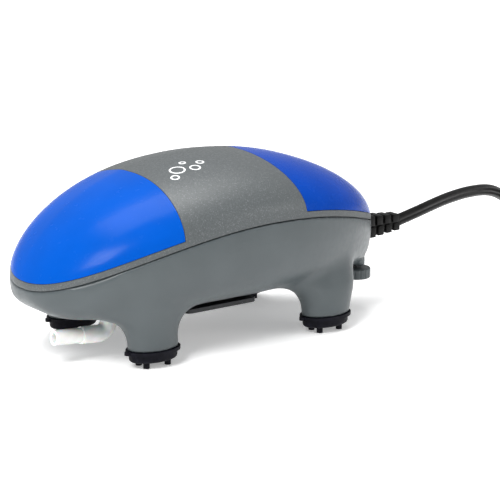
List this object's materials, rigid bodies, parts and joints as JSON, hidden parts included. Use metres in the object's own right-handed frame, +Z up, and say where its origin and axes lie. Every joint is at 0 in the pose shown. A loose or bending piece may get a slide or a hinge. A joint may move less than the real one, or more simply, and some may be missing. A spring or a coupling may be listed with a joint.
{
  "type": "aquarium air pump",
  "caption": "Domed aquarium air pump on rubber-footed legs, with an electromagnet-driven swinging lever, diaphragm, flap valves, airline outlet, output knob and mains lead.",
  "frame": {"origin": "on the surface under the rubber feet, midway along and across the housing, without the mains lead", "axes": "+X towards the tail where the mains lead leaves, +Y to the pump's left seen from the tail, +Z up"},
  "size_m": [0.4149, 0.1374, 0.078],
  "materials": {
    "grey_grained": "mid grey moulded plastic with a fine bright grain",
    "grey_satin": "smooth satin grey moulded plastic",
    "blue_gloss": "glossy royal blue",
    "rubber_black": "soft black rubber, slightly navy",
    "dark_plastic": "dark grey plastic",
    "natural_plastic": "off-white engineering plastic",
    "felt": "white needled felt",
    "steel": "zinc-plated steel",
    "iron": "stacked silicon-steel laminations",
    "copper": "enamelled copper wire, varnished",
    "magnet": "ferrite magnet",
    "brass": "tinned brass",
    "silicone": "milky translucent silicone",
    "circuit_board": "green circuit board",
    "cord_black": "black flexible PVC",
    "wire_blue": "blue insulated wire",
    "wire_brown": "brown insulated wire",
    "nickel": "nickel-plated brass"
  },
  "bodies": {
    "root": {"upper_housing": "grey_grained", "front_cap": "blue_gloss", "rear_cap": "blue_gloss", "lower_housing": "grey_satin", "foot_front_right": "rubber_black", "foot_front_left": "rubber_black", "foot_rear_right": "rubber_black", "foot_rear_left": "rubber_black", "housing_screws": "steel", "filter_cover": "dark_plastic", "filter_felt": "felt", "iron_core": "iron", "coil_bobbin": "natural_plastic", "coil_winding": "copper", "coil_terminals": "brass", "damping_pads": "rubber_black", "core_clamp": "steel", "core_clamp_screws": "steel", "pivot_pin": "steel", "pivot_bracket": "dark_plastic", "diaphragm": "rubber_black", "diaphragm_ring": "natural_plastic", "pump_chamber": "natural_plastic", "valve_plate": "natural_plastic", "head_cover": "natural_plastic", "head_bolts": "steel", "inner_hose": "silicone", "outlet_elbow": "silicone", "regulator_pot": "dark_plastic", "regulator_board": "circuit_board", "board_components": "dark_plastic", "lead_clamp": "dark_plastic", "lead_clamp_screw": "steel", "inner_lead": "cord_black", "lead_wire": "wire_blue", "board_wire": "wire_brown", "strain_relief": "cord_black", "cord": "cord_black", "cord_tail": "cord_black", "cord_coil": "cord_black", "cord_tie": "rubber_black", "plug_body": "cord_black", "plug_pins": "nickel"},
    "armature": {"lever": "natural_plastic", "lever_magnet": "magnet", "diaphragm_washers": "steel", "diaphragm_bolt": "steel"},
    "regulator": {"regulator_knob": "grey_satin", "regulator_spindle": "natural_plastic"},
    "inlet_valve": {"inlet_flap": "rubber_black"},
    "outlet_valve": {"outlet_flap": "rubber_black"}
  },
  "joints": [
    {"name": "lever_swing", "type": "hinge", "parent": "root", "child": "armature", "pos_m": [-0.058, -0.005, 0.042], "axis": [0, 0, 1], "range_deg": [-1.5, 1.5], "stiffness_Nm_per_rad": 0.5, "deforming": ["diaphragm"]},
    {"name": "regulator_turn", "type": "hinge", "parent": "root", "child": "regulator", "pos_m": [0.0773, -0.01, 0.016], "axis": [0, 0, 1], "range_deg": [-135, 135]},
    {"name": "inlet_valve_open", "type": "hinge", "parent": "root", "child": "inlet_valve", "pos_m": [-0.0194, 0.01255, 0.0474], "axis": [1, 0, 0], "range_deg": [-18, 0], "stiffness_Nm_per_rad": 0.00005},
    {"name": "outlet_valve_open", "type": "hinge", "parent": "root", "child": "outlet_valve", "pos_m": [-0.0306, 0.01565, 0.0474], "axis": [1, 0, 0], "range_deg": [0, 18], "stiffness_Nm_per_rad": 0.00005}
  ]
}
